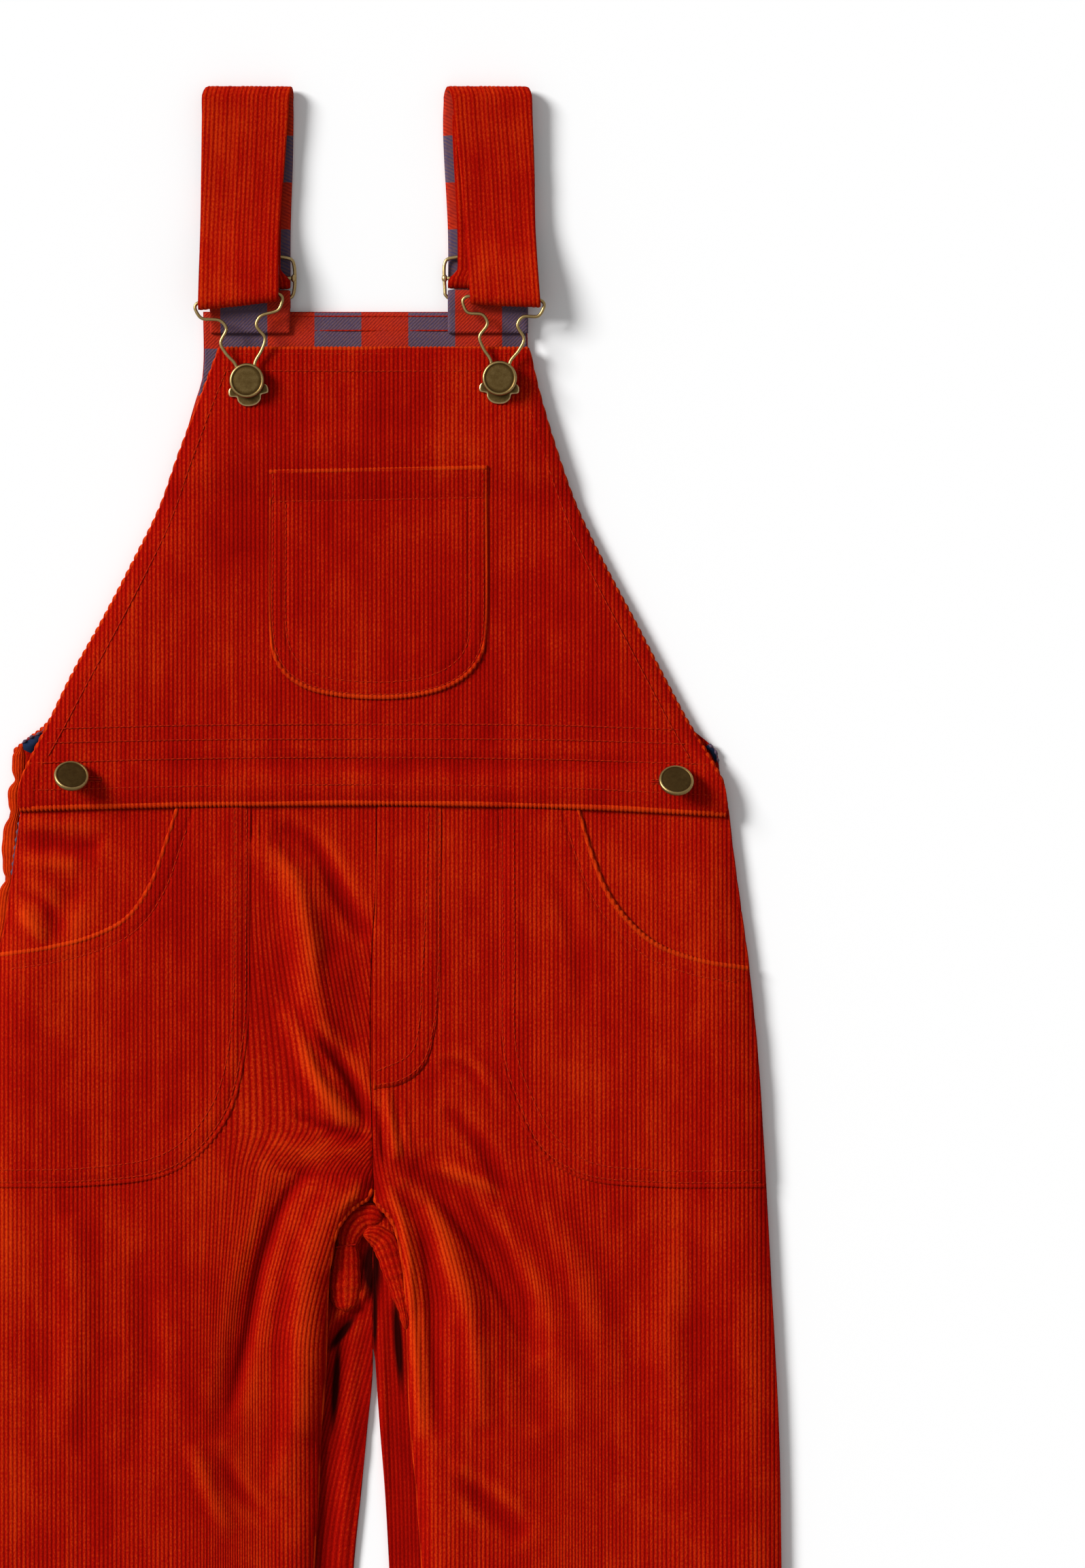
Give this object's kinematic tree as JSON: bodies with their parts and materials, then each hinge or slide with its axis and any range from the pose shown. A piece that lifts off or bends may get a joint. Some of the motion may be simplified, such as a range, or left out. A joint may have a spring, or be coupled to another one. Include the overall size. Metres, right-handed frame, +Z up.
{
  "type": "toddler overalls",
  "caption": "Toddler overalls in rust-red corduroy with a checked lining, laid flat and face up, with straps folded over and hooked to the bib.",
  "frame": {"origin": "on the surface the garment lies on, under the middle of its outline", "axes": "+X to the viewer's right, +Y up the garment from the hems to the straps, +Z up from the surface"},
  "size_m": [0.347, 0.8052, 0.0185],
  "materials": {
    "corduroy": "fine-wale cotton corduroy, rust red, matt pile with a soft sheen",
    "check_lining": "soft cotton twill, red and lilac-grey check, matt",
    "antique_brass": "darkened antique brass, satin, bright on worn edges"
  },
  "bodies": {
    "root": {"bib_front": "corduroy", "bib_pocket": "corduroy", "bib_back": "corduroy", "bib_back_lining": "check_lining", "leg_front_left": "corduroy", "leg_front_right": "corduroy", "leg_back_left": "corduroy", "leg_back_right": "corduroy", "pocket_left": "corduroy", "pocket_right": "corduroy", "fly": "corduroy", "strap_left": "corduroy", "strap_right": "corduroy", "stub_left": "check_lining", "stub_right": "check_lining", "slider_left": "antique_brass", "slider_right": "antique_brass", "hook_left": "antique_brass", "hook_right": "antique_brass", "hook_plate_left": "antique_brass", "hook_plate_right": "antique_brass", "bib_button_left": "antique_brass", "bib_button_right": "antique_brass", "side_button_left": "antique_brass", "side_button_right": "antique_brass"}
  },
  "joints": []
}
